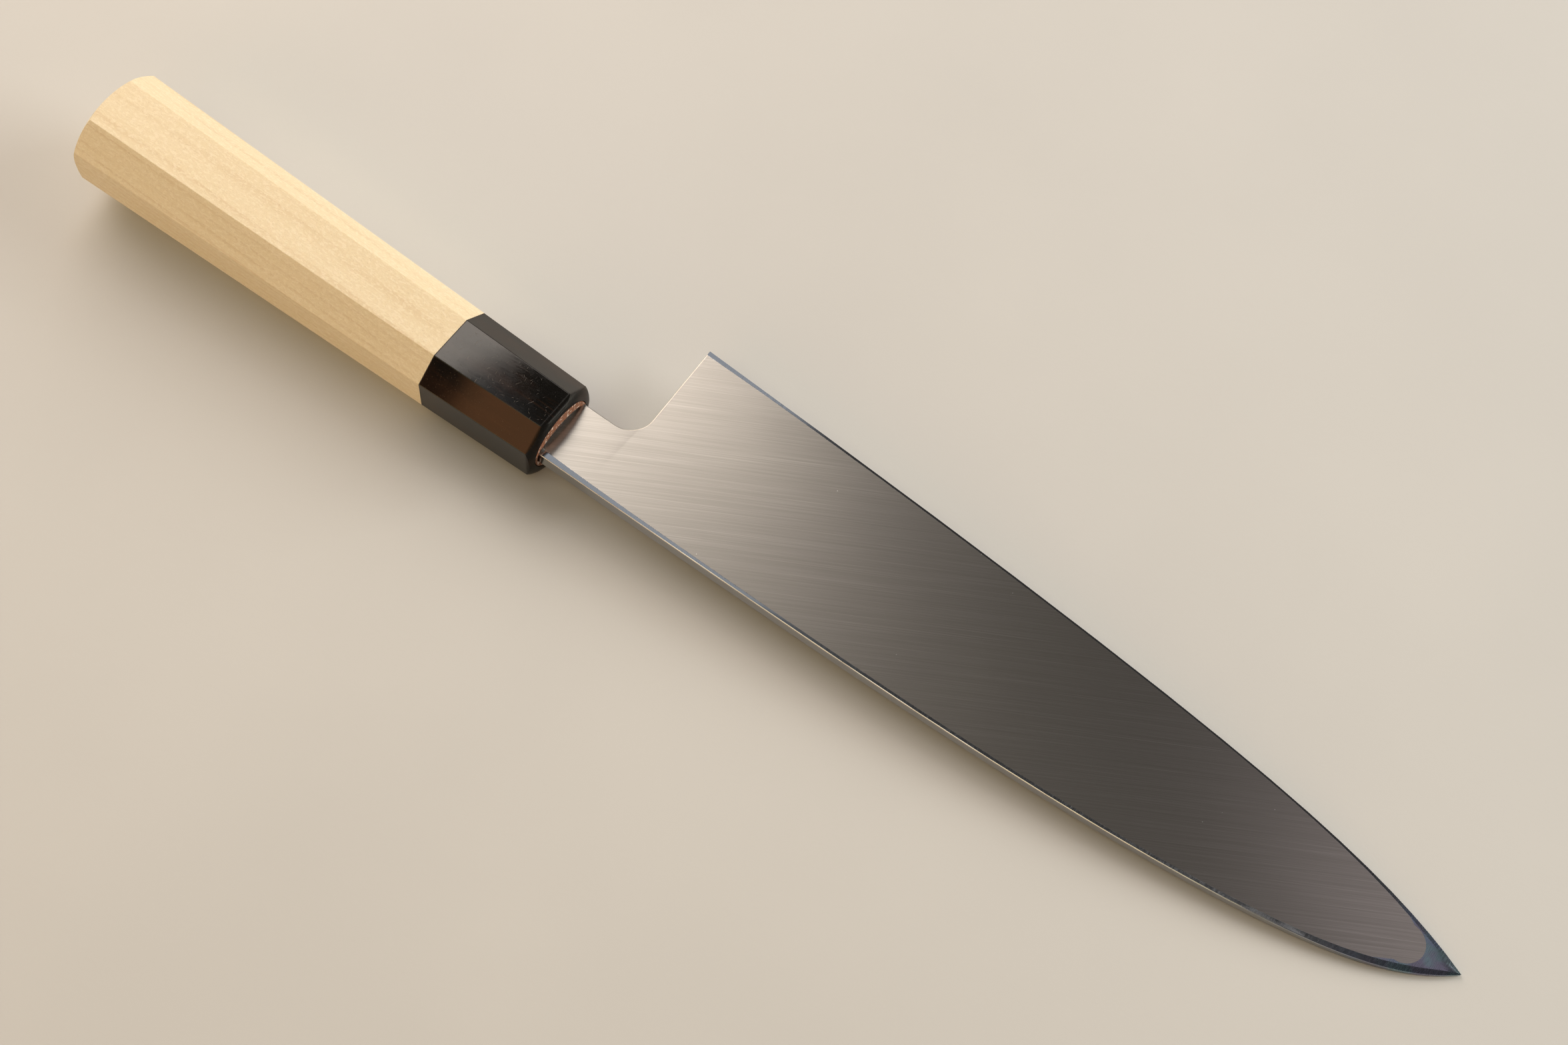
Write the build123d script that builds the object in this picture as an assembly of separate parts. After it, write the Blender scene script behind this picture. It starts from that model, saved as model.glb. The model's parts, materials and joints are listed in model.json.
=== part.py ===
from build123d import *
import os
from math import atan2, degrees, exp, radians, tan

# A Japanese chef's knife: a steel blade whose hidden tang is glued into a wooden handle.
#
# Each piece is drawn in the knife's own straight frame, in millimetres. The origin is the
# centre of the collar's front face. +X runs to the tip, +Y to the cutting edge, and +Z out of
# the blade's upper face. rest_pose() then lays the finished knife on a table, at z = 0.

# Blade
REACH = 223.5                # collar face to tip
SPINE_AT_COLLAR = -7.7       # the back of the blade is straight at first ...
SPINE_LEAN = 1.3
SPINE_SWEEP = 14.2           # ... sweeps down over the front third ...
SPINE_NOSE = 7.3             # ... and drops faster over the last centimetre
EDGE_AT_COLLAR = 37.45
EDGE_LEAN = 8.35
EDGE_BELLY = 7.75
EDGE_NOSE = 6.25
SPINE_THICKNESS = 3.9
DISTAL_TAPER = 1.9           # thickness lost evenly along the blade
NOSE_TAPER = 1.4             # thickness lost close to the tip
CONVEXITY = 0.12             # bulge of each face, as a share of the half thickness
CUTTING_EDGE = 0.1           # thickness left at the edge itself
SPINE_EASING = 0.18          # how far each spine corner is rounded back, both ways
TIP_FLAT = 0.15              # the last sliver, so that the tip ends in a small face
BLADE_SECTIONS = 22
SECTION_CROWDING = 1.6       # above 1, the sections stand closer together near the tip

# Sharpened bevel along the edge, per side: its width along most of the blade, what it gains
# at the heel, the length over which that fades, and what it gains at the tip
BEVEL_ANGLE = 12
BEVEL = 0.42
BEVEL_HEEL_GAIN = 0.9
BEVEL_HEEL_FADE = 22.0
BEVEL_TIP_GAIN = 1.6

# Eased shoulder between each face and the spine, in the same way from the collar to the tip
SHOULDER_ANGLE = 8
SHOULDER = 0.8
SHOULDER_NECK_GAIN = 0.8
SHOULDER_NECK_FADE = 18.0
SHOULDER_TIP_GAIN = 1.8

# Neck and choil: the narrow stretch behind the heel
NECK_EDGE = 8.4              # neck's lower side
HEEL_RUN = 14.5              # where the choil starts to rise to the heel
HEEL = 13.6                  # heel corner, a little nearer the collar
CHOIL_RADIUS = 6.0
CHOIL_EASING = 0.2           # radius of the rims of neck, choil and heel
NECK_INSERT = 1.5            # neck inside the collar

# Tang, inside the handle
TANG_LENGTH = 96.0
TANG_ROOT = (10.4, 3.0)      # height by thickness
TANG_END = (5.0, 2.0)

# Handle: octagonal sections, height (Y) by thickness (Z)
FRONT = (21.4, 19.5)
JOINT = (23.0, 19.5)
BUTT = (27.0, 21.8)
CORNER = 0.254               # corner cut, as a share of each side
FACET_ROUNDING = 0.35        # radius of the edges between the facets
COLLAR_LENGTH = 30.5
HANDLE_LENGTH = 132.5
NOSE_DOME = (8.2, 3.6)       # flat radius and rounding radius of the collar's front
NOSE_EASING = 1.3            # radius along the front of its upper and lower facets
BUTT_DOME = (7.0, 7.5)       # the same at the butt

# Core: the oval wooden plug that joins collar and grip
CORE = (8.9, 7.4)            # half height by half thickness
CORE_LENGTH = 60.5
GLUE = 0.2                   # glue film round the core and at the joint
GLUE_SETBACK = 1.0           # glue film kept behind the collar's front face
SLOT = (12.0, 4.4)           # tang slot, overall height by thickness
SLOT_END = TANG_LENGTH + 1.5
MOUTH = (8.3, 4.4)           # oval pocket round the neck, half height by half thickness
MOUTH_DEPTH = 2.5
SEAL_RECESS = 0.4
DAB_RADIUS = 1.1             # lump of sealant left where the spine enters

SETTLING_ROUNDS = 5          # steps that find how far it tips towards the point

OVERSIZE = 40.0              # how far cutting tools run past what they cut


def spine_y(x):
    """Back of the blade."""
    u = x / REACH
    return SPINE_AT_COLLAR + SPINE_LEAN * u + SPINE_SWEEP * u**4 + SPINE_NOSE * u**20


def edge_y(x):
    """Cutting edge, carried on behind the heel where the choil cuts it away."""
    u = x / REACH
    return EDGE_AT_COLLAR - EDGE_LEAN * u - EDGE_BELLY * u**3 - EDGE_NOSE * u**10


def spine_half_thickness(x):
    u = x / REACH
    return (SPINE_THICKNESS - DISTAL_TAPER * u - NOSE_TAPER * u**12) / 2


def shoulder_width(x):
    """Eased strip along the spine: widest at the collar and at the tip."""
    fade = exp(-max(x, 0) / SHOULDER_NECK_FADE)
    return SHOULDER + SHOULDER_NECK_GAIN * fade + SHOULDER_TIP_GAIN * (x / REACH) ** 10


def bevel_width(x):
    """Sharpened bevel: widest at the heel and at the tip."""
    fade = exp(-max(x - HEEL, 0) / BEVEL_HEEL_FADE)
    return BEVEL + BEVEL_HEEL_GAIN * fade + BEVEL_TIP_GAIN * (x / REACH) ** 14


def crowding(x):
    """Share of the full strip widths that fits: nearly 1, and falling to 0 at the tip."""
    height = edge_y(x) - spine_y(x)
    return height / (height + shoulder_width(x) + bevel_width(x))


def shoulder_point(x):
    """Where the eased shoulder meets the upper face, as (y, z)."""
    width = shoulder_width(x) * crowding(x)
    return spine_y(x) + width, spine_half_thickness(x) + width * tan(radians(SHOULDER_ANGLE))


def bevel_point(x):
    """Where the upper face meets the sharpened bevel, as (y, z)."""
    width = bevel_width(x) * crowding(x)
    return edge_y(x) - width, CUTTING_EDGE / 2 + width * tan(radians(BEVEL_ANGLE))


def half_section(x, side):
    """One side of the blade's section, from spine to edge; side is 1 for the upper face, -1 below."""
    thickness = spine_half_thickness(x)
    easing = SPINE_EASING * crowding(x)
    slope = tan(radians(SHOULDER_ANGLE))
    top, bottom = shoulder_point(x), bevel_point(x)
    middle_z = (top[1] + bottom[1]) / 2 + CONVEXITY * thickness
    outline = [
        (spine_y(x), thickness - easing),
        (spine_y(x) + easing, thickness + easing * slope),
        top,
        ((top[0] + bottom[0]) / 2, middle_z),
        bottom,
        (edge_y(x), CUTTING_EDGE / 2),
    ]
    back, shoulder, top, middle, bottom, edge = [Vector(x, y, side * z) for y, z in outline]
    return [
        Edge.make_tangent_arc(back, Vector(0, 0, side), shoulder),
        Edge.make_line(shoulder, top),
        Edge.make_three_point_arc(top, middle, bottom),
        Edge.make_line(bottom, edge),
    ]


def blade_section(x):
    """Cross-section of the blade: spine, eased shoulders, convex faces and edge bevels."""
    upper, lower = half_section(x, 1), half_section(x, -1)
    spine = Edge.make_line(lower[0] @ 0, upper[0] @ 0)
    edge = Edge.make_line(upper[-1] @ 1, lower[-1] @ 1)
    return Face(Wire(upper + lower + [spine, edge]))


def blade_stations():
    """Places of the sections, crowding together towards the tip."""
    start, end = -NECK_INSERT, REACH - TIP_FLAT
    for i in range(BLADE_SECTIONS + 1):
        share = 1 - (1 - i / BLADE_SECTIONS) ** SECTION_CROWDING
        yield start + (end - start) * share


def choil_cutter():
    """What is cut away between the neck and the heel."""
    behind = -OVERSIZE
    above = EDGE_AT_COLLAR + OVERSIZE
    outline = Polyline((behind, NECK_EDGE), (behind, above), (HEEL, above), (HEEL, edge_y(HEEL)))
    outline += Line((HEEL, edge_y(HEEL)), (HEEL_RUN, NECK_EDGE + CHOIL_RADIUS))
    outline += RadiusArc(
        (HEEL_RUN, NECK_EDGE + CHOIL_RADIUS), (HEEL_RUN - CHOIL_RADIUS, NECK_EDGE), CHOIL_RADIUS
    )
    outline += Line((HEEL_RUN - CHOIL_RADIUS, NECK_EDGE), (behind, NECK_EDGE))
    return extrude(make_face(outline), amount=SPINE_THICKNESS, both=True)


def choil_rims(cut):
    """Upper and lower rims of the neck, choil and heel."""
    reach = HEEL_RUN + CHOIL_EASING
    behind_heel = cut.edges().filter_by(lambda e: e.bounding_box().max.X < reach)
    outside = behind_heel.filter_by(lambda e: e.bounding_box().min.Y > NECK_EDGE - CHOIL_EASING)
    return outside.filter_by(lambda e: abs(e.center().Z) > CHOIL_EASING)


def yz_plane(x):
    """Plane across the handle at x, its own X along the knife's +Y."""
    return Plane(origin=(x, 0, 0), x_dir=(0, 1, 0), z_dir=(1, 0, 0))


def tang():
    root = yz_plane(NECK_INSERT) * Rectangle(*TANG_ROOT)
    end = yz_plane(-TANG_LENGTH) * Rectangle(*TANG_END)
    return loft([root.face(), end.face()], ruled=True)


def blade():
    """Blade, neck and hidden tang, forged in one piece."""
    ground = loft([blade_section(x) for x in blade_stations()])
    cut = ground - choil_cutter()
    return fillet(choil_rims(cut), CHOIL_EASING) + tang()


def octagon(x, size):
    """Corners of the handle's section at x: a rectangle with its four corners cut."""
    height, thickness = size
    across, up = height / 2, thickness / 2
    corner_y, corner_z = height * CORNER, thickness * CORNER
    quarter = [(across, up - corner_z), (across - corner_y, up)]
    half = quarter + [(-y, z) for y, z in reversed(quarter)]
    return [Vector(x, y, z) for y, z in half + [(-y, -z) for y, z in half]]


def facet_plane(joint, end, i):
    """Plane of facet i, with its normal outwards: it holds the joint's side i, and the middle of
    the end's, because the two octagons are not quite the same shape and the facets are flat."""
    first, second = joint[i], joint[(i + 1) % len(joint)]
    far = (end[i] + end[(i + 1) % len(end)]) / 2
    normal = (second - first).cross(far - first)
    middle = (first + second) / 2
    outwards = normal.dot(Vector(0, middle.Y, middle.Z)) > 0
    return Plane(origin=middle, x_dir=second - first, z_dir=normal if outwards else -normal)


def faceted_bar(joint, end, start, length):
    """Bar of eight flat facets through two octagons, from start towards the butt."""
    bar = extrude(yz_plane(start) * Rectangle(OVERSIZE, OVERSIZE), amount=-length)
    for i in range(len(joint)):
        bar = split(bar, bisect_by=facet_plane(joint, end, i), keep=Keep.BOTTOM)
    lengthwise = bar.edges().filter_by(lambda e: abs(e.tangent_at(0).X) > 0.5)
    return fillet(lengthwise, FACET_ROUNDING)


def domed_end(x, outward, dome, size):
    """Everything behind a domed end face at x, its rim rounded to suit an oval section."""
    flat, rounding = dome
    height, thickness = size
    rim = flat + rounding
    far = -2 * HANDLE_LENGTH
    profile = JernArc((0, flat), (0, 1), rounding, 90)
    profile += Polyline((-rounding, rim), (far, rim), (far, 0), (0, 0), (0, flat))
    turned = revolve(make_face(profile), Axis.X)
    oval = scale(turned, by=(outward, height / thickness, 1))
    return Pos(x, 0, 0) * oval


def eased_bar():
    """Bar as thick as the collar, with rounded front edges, which run straight across the knife."""
    profile = Plane.XZ * Rectangle(2 * HANDLE_LENGTH, FRONT[1])
    profile = Pos(-HANDLE_LENGTH, 0, 0) * profile
    front = profile.vertices().filter_by(lambda v: v.X > -HANDLE_LENGTH)
    return extrude(fillet(front, NOSE_EASING), amount=OVERSIZE, both=True)


def oval_prism(size, start, length):
    """Oval bar along the handle, from start towards the butt."""
    return extrude(yz_plane(start) * Ellipse(*size), amount=-length)


def tang_slot():
    return extrude(yz_plane(-MOUTH_DEPTH) * SlotOverall(*SLOT), amount=MOUTH_DEPTH - SLOT_END)


def core_bore():
    """Oval hole for the core, with room for the glue film."""
    size = (CORE[0] + GLUE, CORE[1] + GLUE)
    return oval_prism(size, OVERSIZE, OVERSIZE + CORE_LENGTH + GLUE)


def collar():
    joint, front = octagon(-COLLAR_LENGTH, JOINT), octagon(0, FRONT)
    body = faceted_bar(joint, front, 0, COLLAR_LENGTH)
    return (body & domed_end(0, 1, NOSE_DOME, FRONT) & eased_bar()) - core_bore()


def grip():
    joint, butt = octagon(-COLLAR_LENGTH, JOINT), octagon(-HANDLE_LENGTH, BUTT)
    body = faceted_bar(joint, butt, -COLLAR_LENGTH - GLUE, HANDLE_LENGTH - COLLAR_LENGTH - GLUE)
    return (body & domed_end(-HANDLE_LENGTH, -1, BUTT_DOME, BUTT)) - core_bore() - tang_slot()


def joint_glue():
    """Thin line of glue between collar and grip."""
    joint, butt = octagon(-COLLAR_LENGTH, JOINT), octagon(-HANDLE_LENGTH, BUTT)
    return faceted_bar(joint, butt, -COLLAR_LENGTH, GLUE) - core_bore()


def core(steel):
    """Oval plug through the collar and into the grip, let in round the neck."""
    pocket = oval_prism(MOUTH, 0, MOUTH_DEPTH)
    return oval_prism(CORE, 0, CORE_LENGTH) - pocket - tang_slot() - steel


def core_glue():
    """Glue sleeve and bottom film round the core."""
    size = (CORE[0] + GLUE, CORE[1] + GLUE)
    filled = oval_prism(size, -GLUE_SETBACK, CORE_LENGTH + GLUE - GLUE_SETBACK)
    return filled - oval_prism(CORE, 0, CORE_LENGTH) - tang_slot()


def tang_adhesive(steel):
    return tang_slot() - steel


def mouth_seal(steel, plug):
    """Dark sealant round the neck, with a dab left on the face beside the spine."""
    filling = oval_prism(MOUTH, -SEAL_RECESS, MOUTH_DEPTH - SEAL_RECESS)
    dab = Pos(-SEAL_RECESS, spine_y(0) + DAB_RADIUS, spine_half_thickness(0)) * Sphere(DAB_RADIUS)
    return filling + dab - steel - plug


def rest_pose(pieces):
    """Lay the knife down: it touches along the collar's lower front edge and near the tip."""
    tilt = 0.0
    for _ in range(SETTLING_ROUNDS):
        pose = Rot(0, tilt, 0)
        front = (pose * pieces["collar"]).bounding_box().min.Z
        tip = (pose * pieces["blade"]).bounding_box().min.Z
        tilt += degrees(atan2(tip - front, REACH))
    laid = {name: pose * piece for name, piece in pieces.items()}
    box = Compound(list(laid.values())).bounding_box()
    centre = box.center()
    down = Pos(-centre.X, -centre.Y, -box.min.Z)
    return {name: down * piece for name, piece in laid.items()}


def knife():
    steel = blade()
    plug = core(steel)
    pieces = {
        "blade": steel,
        "collar": collar(),
        "grip": grip(),
        "core": plug,
        "core_glue": core_glue(),
        "joint_glue": joint_glue(),
        "tang_adhesive": tang_adhesive(steel),
        "mouth_seal": mouth_seal(steel, plug),
    }
    return rest_pose(pieces)


os.makedirs("parts", exist_ok=True)
for name, piece in knife().items():
    export_step(piece, f"parts/{name}.step")
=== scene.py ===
"""Looks of the chef's knife: materials, table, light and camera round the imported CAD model.

The materials are drawn in the knife's own frame, in millimetres: x runs from the front of the
collar to the tip, y from the spine to the cutting edge, and z out of the blade's upper face.
"""
import json
import math

import bpy
from mathutils import Matrix, Vector

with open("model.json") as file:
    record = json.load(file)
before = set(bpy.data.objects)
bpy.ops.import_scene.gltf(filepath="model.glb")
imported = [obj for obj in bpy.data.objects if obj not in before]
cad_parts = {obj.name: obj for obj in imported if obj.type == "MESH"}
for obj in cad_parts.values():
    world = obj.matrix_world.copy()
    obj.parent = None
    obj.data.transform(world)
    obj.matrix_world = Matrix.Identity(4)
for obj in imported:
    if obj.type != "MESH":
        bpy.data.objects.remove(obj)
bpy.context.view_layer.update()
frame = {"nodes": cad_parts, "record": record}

MM = 0.001

# Where the knife's frame starts, seen from the mount on the collar's lower flat
MOUNT_BEHIND_FRONT = 15 * MM
COLLAR_HALF_THICKNESS = 9.75 * MM

# Outline of the blade in millimetres, with the names it has in the CAD model
REACH = 223.5
HEEL = 13.6
SPINE_AT_COLLAR = -7.7
SPINE_LEAN = 1.3
SPINE_SWEEP = 14.2
SPINE_NOSE = 7.3
EDGE_AT_COLLAR = 37.45
EDGE_LEAN = 8.35
EDGE_BELLY = 7.75
EDGE_NOSE = 6.25

# Polished strips along the spine and the edge, in the same way
SHOULDER = 0.8
SHOULDER_NECK_GAIN = 0.8
SHOULDER_NECK_FADE = 18.0
SHOULDER_TIP_GAIN = 1.8
BEVEL = 0.42
BEVEL_HEEL_GAIN = 0.9
BEVEL_HEEL_FADE = 22.0
BEVEL_TIP_GAIN = 1.6

# Brushed area of the blade
SATIN_END = (210.4, 13.7)       # centre of its round end, near the tip
SATIN_END_RADIUS = 4.6
SATIN_END_FLARE = 0.6           # what the end gains in half width for each mm back from there
SATIN_RAGGEDNESS = 0.10
BRUSHING_ANGLE = math.radians(30)
FILM_START, FILM_END = 190.0, 214.0     # where the bluish film near the tip fades in

# Growth rings of the grip: how many are crossed in a millimetre each way, and their wandering
RINGS_UP, RINGS_ACROSS, RINGS_ALONG = 0.55, 0.16, 0.008
RING_WANDER = 1.6

# Horn: where its satin front rim fades in, and the direction of its rubbing marks
RIM_START, RIM_END = -1.7, -0.8
RUBBING_ANGLE = math.radians(6)
NICK_SETS = ((24, 9.0), (-38, 6.0), (61, 6.0), (97, 6.0))   # direction in degrees, fineness in z

# Floor, in metres
FLOOR_HALF_SIZE = 6.0
FLOOR_GAP = 0.02 * MM           # keeps the floor clear of the surfaces that rest on it

# Camera: where it stands round the point it aims at, in metres, and its lens in millimetres
AZIMUTH, ELEVATION, ROLL = (math.radians(a) for a in (34.1, 63.3, 2.4))
AIM = Vector((0.0075, 0.0, 0.010))
DISTANCE = 0.5815
FOCAL_LENGTH, SENSOR_WIDTH = 61.2, 36.0
NEAREST, FARTHEST = 0.01, 50.0          # what it sees at all, in metres


# ---------------------------------------------------------------- shader building

class Term:
    """A number or vector in a material, with which formulas can be written."""

    def __init__(self, graph, socket):
        self.graph = graph
        self.socket = socket

    def __add__(self, other):
        return self.graph.math("ADD", self, other)

    def __sub__(self, other):
        return self.graph.math("SUBTRACT", self, other)

    def __rsub__(self, other):
        return self.graph.math("SUBTRACT", other, self)

    def __mul__(self, other):
        return self.graph.math("MULTIPLY", self, other)

    def __truediv__(self, other):
        return self.graph.math("DIVIDE", self, other)

    def __pow__(self, other):
        return self.graph.math("POWER", self, other)

    __radd__ = __add__
    __rmul__ = __mul__


class Graph:
    """The shader nodes of one material."""

    def __init__(self, name):
        self.material = bpy.data.materials.new(name)
        self.material.use_nodes = True
        self.tree = self.material.node_tree
        self.shader = self.tree.nodes["Principled BSDF"]

    def feed(self, socket, value):
        """Link a term to a socket, or set the socket to a plain value."""
        if isinstance(value, Term):
            self.tree.links.new(value.socket, socket)
        else:
            socket.default_value = value

    def node(self, kind, inputs=(), **settings):
        """A new node; inputs pairs a socket's name or number with its value."""
        made = self.tree.nodes.new("ShaderNode" + kind)
        for name, value in settings.items():
            setattr(made, name, value)
        for key, value in inputs:
            self.feed(made.inputs[key], value)
        return made

    def out(self, node, key=0):
        return Term(self, node.outputs[key])

    def math(self, operation, *values):
        return self.out(self.node("Math", enumerate(values), operation=operation))

    def knife_point(self):
        """Where this point of the surface is in the knife's frame, in millimetres."""
        here = self.out(self.node("TexCoord"), "Object")
        placing = [
            ("Vector", here),
            ("Location", KNIFE.to_translation()),
            ("Rotation", KNIFE.to_euler()),
            ("Scale", (MM, MM, MM)),
        ]
        return self.out(self.node("Mapping", placing, vector_type="TEXTURE"))

    def split(self, vector):
        parts = self.node("SeparateXYZ", [(0, vector)])
        return [self.out(parts, i) for i in range(3)]

    def join(self, x, y, z):
        return self.out(self.node("CombineXYZ", enumerate((x, y, z))))

    def turned(self, vector, angle):
        """The same point measured from axes turned by angle about z."""
        inputs = [("Vector", vector), ("Angle", -angle), ("Axis", (0, 0, 1))]
        return self.out(self.node("VectorRotate", inputs))

    def stretched(self, vector, *factors):
        inputs = [(0, vector), (1, factors)]
        return self.out(self.node("VectorMath", inputs, operation="MULTIPLY"))

    def noise(self, vector, scale=1.0, detail=2.0, roughness=0.5):
        inputs = [
            ("Vector", vector),
            ("Scale", scale),
            ("Detail", detail),
            ("Roughness", roughness),
        ]
        return self.out(self.node("TexNoise", inputs), "Fac")

    def specks(self, vector, scale, radius):
        """1 inside small dots scattered at random, about one in each cube of side 1 / scale."""
        inputs = [("Vector", vector), ("Scale", scale)]
        distance = self.out(self.node("TexVoronoi", inputs), "Distance")
        return self.between(distance, radius, 0.5 * radius)

    def between(self, value, low, high, start=0.0, end=1.0):
        """Smooth step from start to end as value goes from low to high."""
        inputs = [(0, value), (1, low), (2, high), (3, start), (4, end)]
        return self.out(self.node("MapRange", inputs, interpolation_type="SMOOTHSTEP"))

    def mix(self, share, first, second):
        """Colour between first and second; share is that of the second."""
        made = self.node("Mix", data_type="RGBA")
        for name, value in (("Factor_Float", share), ("A_Color", first), ("B_Color", second)):
            socket = next(s for s in made.inputs if s.identifier == name)
            self.feed(socket, value if isinstance(value, (Term, float)) else (*value, 1.0))
        return Term(self, next(s for s in made.outputs if s.identifier == "Result_Color"))

    def bump(self, height, distance, strength):
        """Normal that follows a height of 0 to 1 as if it were relief of the given distance."""
        inputs = [("Height", height), ("Distance", distance), ("Strength", strength)]
        return self.out(self.node("Bump", inputs))

    def finish(self, **inputs):
        """Set the main shader's sockets, whose names are written with underscores."""
        for name, value in inputs.items():
            self.feed(self.shader.inputs[name.replace("_", " ")], value)
        return self.material


def knife_axes():
    """The knife's frame as a matrix, from the mount on the collar's lower flat."""
    mount = next(m for m in frame["record"]["mounts"] if m["name"] == "collar_lower_flat")
    up = -Vector(mount["axis"])
    along = Vector((0, 1, 0)).cross(up).normalized()
    across = up.cross(along)
    origin = Vector(mount["pos_m"]) + along * MOUNT_BEHIND_FRONT + up * COLLAR_HALF_THICKNESS
    turn = Matrix((along, across, up)).transposed()
    return Matrix.Translation(origin) @ turn.to_4x4()


KNIFE = knife_axes()


# ---------------------------------------------------------------- materials

def growth_rings(g, point):
    """Number of growth rings crossed to reach a point, and how pale its own ring is."""
    x, y, z = g.split(point)
    wander = g.noise(g.stretched(point, 0.010, 0.05, 0.05), detail=1.0)
    ring = z * RINGS_UP + y * RINGS_ACROSS + x * RINGS_ALONG + wander * RING_WANDER
    band = g.noise(g.join(x * 0.006, ring * 0.9, 0.0))
    return ring, band


def magnolia_wood():
    """Pale, fine-grained wood: faint growth lines a little askew to the handle, and ray flecks drawn
    paler, partly their own tone and partly a painted sheen.
    """
    g = Graph("magnolia_wood")
    point = g.knife_point()
    ring, band = growth_rings(g, point)
    season = g.math("FRACT", ring)
    late = g.between(season, 0.55, 0.93) * g.between(season, 1.0, 0.95)
    patchy = g.noise(g.stretched(point, 0.03, 0.4, 0.4))
    pores = g.noise(g.stretched(point, 0.16, 5.0, 5.0), detail=3.0, roughness=0.6)
    flecks = g.noise(g.stretched(point, 0.9, 2.2, 2.2), detail=3.0, roughness=0.6)
    dots = g.noise(g.stretched(point, 3.0, 7.0, 7.0), detail=1.0)
    cream, pale_cream = (0.800, 0.685, 0.485), (0.825, 0.715, 0.520)
    tan, brown = (0.60, 0.43, 0.25), (0.56, 0.43, 0.27)
    # the first colour here is the flecks' pale tone with a painted sheen mixed into it
    pale_fleck_and_sheen, umber = (0.92, 0.83, 0.65), (0.50, 0.38, 0.24)
    colour = g.mix(g.between(band, 0.3, 0.7), cream, pale_cream)
    colour = g.mix(late * g.between(patchy, 0.3, 0.7, 0.08, 0.32), colour, tan)
    colour = g.mix(g.between(pores, 0.50, 0.72, 0.0, 0.16), colour, brown)
    # ray flecks mixed toward pale cream: partly the wood's own flecks, partly a painted sheen
    colour = g.mix(g.between(flecks, 0.48, 0.62, 0.0, 0.45), colour, pale_fleck_and_sheen)
    colour = g.mix(g.between(dots, 0.55, 0.70, 0.0, 0.25), colour, umber)
    height = pores * 0.5 + flecks * 0.3 + dots * 0.2
    return g.finish(
        Base_Color=colour,
        Roughness=g.between(flecks, 0.35, 0.7, 0.56, 0.40),
        Normal=g.bump(height, 0.05 * MM, 0.30),
        Specular_IOR_Level=0.35,
        Subsurface_Weight=0.06,
        Subsurface_Radius=(1.6, 0.9, 0.4),
        Subsurface_Scale=MM,
    )


def nicks(g, point):
    """1 on short, thin scratches that run several ways."""
    deepest = 0.0
    for angle, fineness in NICK_SETS:
        along = g.turned(point, math.radians(angle))
        scratches = g.noise(g.stretched(along, 0.6, 9.0, fineness), detail=0.0)
        deepest = g.math("MAXIMUM", deepest, scratches)
    return g.between(deepest, 0.84, 0.88)


def buffalo_horn():
    """Polished near-black horn with fine rubbing marks; its front rim is left satin."""
    g = Graph("buffalo_horn")
    point = g.knife_point()
    x, _, _ = g.split(point)
    cloud = g.noise(g.stretched(point, 0.05, 0.16, 0.16), detail=3.0)
    streak = g.noise(g.stretched(point, 0.10, 1.6, 1.6), detail=3.0)
    rub = g.noise(g.stretched(g.turned(point, RUBBING_ANGLE), 0.22, 9.0, 9.0), detail=3.0)
    haze = g.noise(point, scale=0.25, detail=4.0, roughness=0.6)
    scratched = nicks(g, point)
    black, brown_black = (0.004, 0.0035, 0.003), (0.014, 0.007, 0.004)
    dark_brown, grey = (0.026, 0.013, 0.007), (0.16, 0.13, 0.10)
    colour = g.mix(g.between(cloud, 0.42, 0.7), black, brown_black)
    colour = g.mix(g.between(streak, 0.58, 0.78, 0.0, 0.6), colour, dark_brown)
    colour = g.mix(scratched * 0.55, colour, grey)
    polish = g.between(haze, 0.35, 0.7, 0.045, 0.065) + g.between(rub, 0.55, 0.75, 0.0, 0.03)
    rim = g.between(x, RIM_START, RIM_END)
    height = rub * 0.5 - scratched * 0.6 + haze * 0.2
    return g.finish(
        Base_Color=colour,
        Roughness=polish + scratched * 0.15 + rim * 0.28,
        IOR=1.58,
        Specular_IOR_Level=g.between(x, RIM_START, RIM_END, 0.42, 0.10),
        Normal=g.bump(height, 0.012 * MM, 0.25),
    )


def face_borders(g, x):
    """Borders of the blade's face at x: the y where the shoulder ends and where the bevel starts."""
    u = x / REACH
    spine = u * SPINE_LEAN + u**4 * SPINE_SWEEP + u**20 * SPINE_NOSE + SPINE_AT_COLLAR
    edge = EDGE_AT_COLLAR - u * EDGE_LEAN - u**3 * EDGE_BELLY - u**10 * EDGE_NOSE
    from_collar = g.math("MAXIMUM", x, 0.0)
    from_heel = g.math("MAXIMUM", x - HEEL, 0.0)
    neck_gain = g.math("EXPONENT", from_collar / -SHOULDER_NECK_FADE) * SHOULDER_NECK_GAIN
    heel_gain = g.math("EXPONENT", from_heel / -BEVEL_HEEL_FADE) * BEVEL_HEEL_GAIN
    shoulder = neck_gain + u**10 * SHOULDER_TIP_GAIN + SHOULDER
    bevel = heel_gain + u**14 * BEVEL_TIP_GAIN + BEVEL
    height = edge - spine
    crowding = height / (height + shoulder + bevel)
    return spine + shoulder * crowding, edge - bevel * crowding


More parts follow.
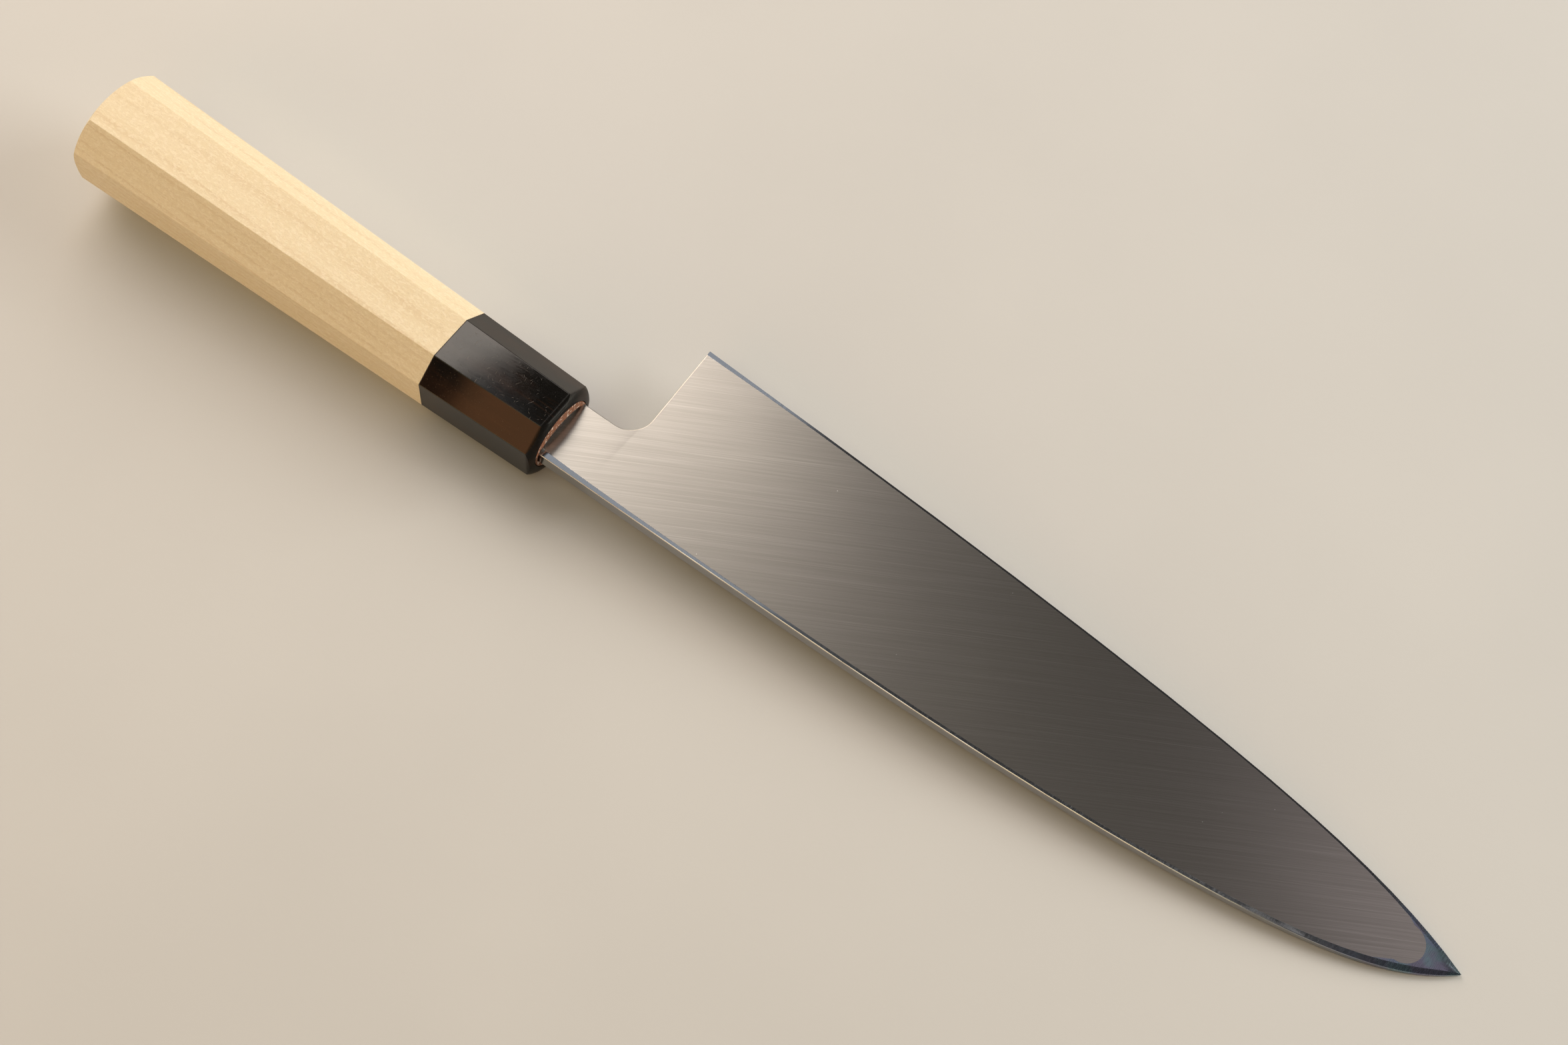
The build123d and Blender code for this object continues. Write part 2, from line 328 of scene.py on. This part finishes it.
def satin_mask(g, point):
    """1 on the brushed area, 0 on the polished shoulder, bevel and tip."""
    x, y, _ = g.split(point)
    top, bottom = face_borders(g, x)
    beyond = g.math("MAXIMUM", x - SATIN_END[0], 0.0)
    before = g.math("MAXIMUM", SATIN_END[0] - x, 0.0)
    aside = g.math("ABSOLUTE", y - SATIN_END[1])
    reach = g.math("SQRT", beyond**2 + aside**2)
    inside_end = before * SATIN_END_FLARE + SATIN_END_RADIUS - reach
    sides = g.math("MINIMUM", y - top, bottom - y)
    inside = g.math("MINIMUM", sides, inside_end)
    ragged = g.noise(g.turned(point, BRUSHING_ANGLE), scale=2.5) - 0.5
    return g.between(inside + ragged * SATIN_RAGGEDNESS, -0.05, 0.10)


def across_brushing():
    """Direction in which the scratches of the brushing spread the light."""
    across = Vector((-math.sin(BRUSHING_ANGLE), math.cos(BRUSHING_ANGLE), 0))
    return KNIFE.to_3x3() @ across


def brushed_colour(g, point, line, shade):
    """Grey that varies from scratch to scratch, with a few bright lines and specks."""
    grey, pale_grey = (0.440, 0.425, 0.405), (0.520, 0.505, 0.485)
    bright, white = (0.72, 0.70, 0.68), (0.95, 0.95, 0.95)
    colour = g.mix(g.between(shade, 0.40, 0.60), grey, pale_grey)
    colour = g.mix(g.between(line, 0.60, 0.72, 0.0, 0.40), colour, bright)
    return g.mix(g.specks(point, 0.16, 0.028), colour, white)


def polished_colour(g, point, near_tip):
    """Bare steel, with a blue, green and violet film near the tip."""
    steel = (0.52, 0.54, 0.58)
    blue, green, violet = (0.25, 0.31, 0.46), (0.24, 0.35, 0.41), (0.27, 0.21, 0.34)
    film = g.mix(g.between(g.noise(point, scale=0.11), 0.44, 0.56), blue, green)
    patches = g.noise(point, scale=0.23, detail=1.0)
    film = g.mix(g.between(patches, 0.45, 0.65, 0.0, 0.6), film, violet)
    return g.mix(near_tip, steel, film)


def blade_steel():
    """Satin steel brushed at an angle, with polished borders and a polished, bluish tip."""
    g = Graph("blade_steel")
    point = g.knife_point()
    x, _, _ = g.split(point)
    satin = satin_mask(g, point)
    polished = 1.0 - satin
    near_tip = g.between(x, FILM_START, FILM_END)
    along = g.turned(point, BRUSHING_ANGLE)
    hair = g.noise(g.stretched(along, 0.05, 14.0, 0.3), roughness=0.6)
    line = g.noise(g.stretched(along, 0.025, 4.6, 0.2), detail=3.0, roughness=0.65)
    band = g.noise(g.stretched(along, 0.012, 0.5, 0.2))
    shade = line * 0.6 + hair * 0.3 + band * 0.1
    cross = g.noise(g.stretched(point, 7.0, 0.6, 0.6))
    colour = g.mix(satin, polished_colour(g, point, near_tip), brushed_colour(g, point, line, shade))
    rough_satin = g.between(shade, 0.42, 0.58, 0.29, 0.275)
    rough_polish = g.between(cross, 0.4, 0.7, 0.09, 0.16) + near_tip * 0.15
    height = satin * (hair * 0.7 + line * 0.3) + polished * cross * 0.10
    return g.finish(
        Base_Color=colour,
        Metallic=1.0,
        Anisotropic=0.5,
        Tangent=g.join(*across_brushing()),
        Roughness=satin * rough_satin + polished * rough_polish,
        Normal=g.bump(height, 0.004 * MM, 0.25),
    )


def core_wood():
    """Reddish-brown raw wood, seen as a crescent in the collar's mouth, with pale dots that are
    painted highlights.
    """
    g = Graph("core_wood")
    point = g.knife_point()
    fibre = g.noise(g.stretched(point, 0.4, 3.0, 3.0), detail=4.0, roughness=0.7)
    # noise that places the pale painted highlights on the crescent
    painted_highlight_spots = g.noise(point, scale=1.3)
    # the last colour here is a painted highlight, pinkish white
    dark_red, red_brown, painted_highlight = (0.12, 0.036, 0.018), (0.33, 0.13, 0.060), (0.78, 0.66, 0.58)
    colour = g.mix(g.between(fibre, 0.3, 0.7), dark_red, red_brown)
    # scatter pale painted highlights over the crescent
    colour = g.mix(g.between(painted_highlight_spots, 0.54, 0.66, 0.0, 0.8), colour, painted_highlight)
    return g.finish(Base_Color=colour, Roughness=0.6, Normal=g.bump(fibre, 0.12 * MM, 0.6))


def sealant():
    """Near-black surface with browner lumps, on the piece in the collar's mouth round the tang."""
    g = Graph("sealant")
    point = g.knife_point()
    lumps = g.noise(point, scale=1.6, detail=4.0, roughness=0.6)
    near_black, brown = (0.012, 0.009, 0.008), (0.055, 0.032, 0.022)
    colour = g.mix(g.between(lumps, 0.35, 0.7), near_black, brown)
    return g.finish(
        Base_Color=colour,
        Roughness=g.between(lumps, 0.4, 0.7, 0.55, 0.25),
        Normal=g.bump(lumps, 0.35 * MM, 0.8),
    )


def glue():
    """Thin dark glue."""
    g = Graph("glue")
    patches = g.noise(g.knife_point(), scale=1.1, detail=3.0)
    near_black, brown = (0.005, 0.003, 0.002), (0.040, 0.019, 0.009)
    colour = g.mix(g.between(patches, 0.42, 0.62), near_black, brown)
    return g.finish(Base_Color=colour, Roughness=0.5, Normal=g.bump(patches, 0.05 * MM, 0.5))


def table_top():
    """Plain pale surface with a very faint mottle."""
    g = Graph("pale_surface")
    here = g.out(g.node("TexCoord"), "Object")
    mottle = g.noise(here, scale=9.0, detail=5.0)
    tooth = g.noise(here, scale=900.0)
    grey, pale_grey = (0.600, 0.615, 0.640), (0.625, 0.640, 0.665)
    colour = g.mix(g.between(mottle, 0.3, 0.7), grey, pale_grey)
    return g.finish(Base_Color=colour, Roughness=0.7, Normal=g.bump(tooth, 0.05 * MM, 0.3))


def paint(node, material):
    """Give a CAD node its material, in every slot."""
    for slot in frame["nodes"][node].material_slots:
        slot.material = material


# ---------------------------------------------------------------- studio

def floor():
    """The table: one large square face."""
    mesh = bpy.data.meshes.new("floor")
    corners = [(-1, -1), (1, -1), (1, 1), (-1, 1)]
    points = [(x * FLOOR_HALF_SIZE, y * FLOOR_HALF_SIZE, -FLOOR_GAP) for x, y in corners]
    mesh.from_pydata(points, [], [(0, 1, 2, 3)])
    made = bpy.data.objects.new("floor", mesh)
    bpy.context.scene.collection.objects.link(made)
    mesh.materials.append(table_top())


def softbox(name, direction, distance, size, power, colour):
    """Area light that faces the knife; size is its width and height in metres."""
    light = bpy.data.lights.new(name, "AREA")
    light.shape = "RECTANGLE"
    light.size, light.size_y = size
    light.energy = power
    light.color = colour
    made = bpy.data.objects.new(name, light)
    back = Vector(direction).normalized()
    made.location = back * distance
    made.rotation_euler = back.to_track_quat("Z", "Y").to_euler()
    bpy.context.scene.collection.objects.link(made)


def lights():
    """A window on the left, whose bright upper part shows in the blade and collar; fill from the
    far right and, warmer, from the near side; and dim lights that only show as reflections, in
    the polished borders and the tip and, seen from above or behind, in the flat of the blade.
    """
    softbox("window_head", (-0.49, 0.265, 0.83), 1.0, (0.80, 0.21), 2.3, (1.0, 0.90, 0.80))
    softbox("window", (-0.74, 0.415, 0.525), 1.0, (0.9, 0.65), 6.3, (1.0, 0.82, 0.64))
    softbox("far_fill", (0.75, 0.60, 0.35), 1.2, (0.8, 0.5), 12.8, (1.0, 0.96, 0.84))
    softbox("near_low", (-0.30, -0.95, 0.22), 1.0, (1.4, 0.3), 2.4, (1.0, 0.70, 0.30))
    softbox("right_low", (0.70, -0.66, 0.25), 1.0, (0.8, 0.35), 0.5, (1.0, 0.93, 0.84))
    softbox("near_high", (-0.06, -0.86, 0.51), 1.0, (0.6, 0.35), 0.90, (1.0, 0.44, 0.18))
    softbox("near_top", (-0.10, -0.45, 0.88), 1.1, (0.9, 0.5), 1.9, (1.0, 0.85, 0.50))
    softbox("overhead", (0.08, -0.18, 0.98), 1.0, (0.6, 0.28), 0.45, (1.0, 0.95, 0.90))
    softbox("sky", (-0.27, 0.145, 0.95), 1.0, (0.25, 0.34), 0.12, (0.92, 0.96, 1.0))
    softbox("far_sky", (-0.36, 0.73, 0.59), 1.0, (0.32, 0.32), 0.15, (0.92, 0.96, 1.0))
    softbox("tip_light", (0.40, 0.46, 0.79), 0.64, (0.16, 0.20), 0.056, (1.0, 0.87, 0.88))


def surroundings():
    """Dim, even light from all round."""
    world = bpy.data.worlds.new("studio")
    world.use_nodes = True
    background = world.node_tree.nodes["Background"]
    background.inputs["Color"].default_value = (1.0, 0.95, 0.90, 1.0)
    background.inputs["Strength"].default_value = 0.045
    bpy.context.scene.world = world


def camera():
    """The photo's view of the knife."""
    data = bpy.data.cameras.new("camera")
    data.sensor_width = SENSOR_WIDTH
    data.lens = FOCAL_LENGTH
    data.clip_start, data.clip_end = NEAREST, FARTHEST
    made = bpy.data.objects.new("camera", data)
    level = math.cos(ELEVATION)
    back = Vector((math.sin(AZIMUTH) * level, -math.cos(AZIMUTH) * level, math.sin(ELEVATION)))
    turn = (-back).to_track_quat("-Z", "Y").to_matrix().to_4x4() @ Matrix.Rotation(ROLL, 4, "Z")
    made.matrix_world = Matrix.Translation(AIM + back * DISTANCE) @ turn
    bpy.context.scene.collection.objects.link(made)
    bpy.context.scene.camera = made


def main():
    paint("blade", blade_steel())
    paint("collar", buffalo_horn())
    paint("grip", magnolia_wood())
    paint("core", core_wood())
    paint("mouth_seal", sealant())
    glue_look = glue()
    for node in ("core_glue", "joint_glue", "tang_adhesive"):
        paint(node, glue_look)
    floor()
    lights()
    surroundings()
    camera()
    bpy.context.scene.view_settings.view_transform = "Standard"


main()
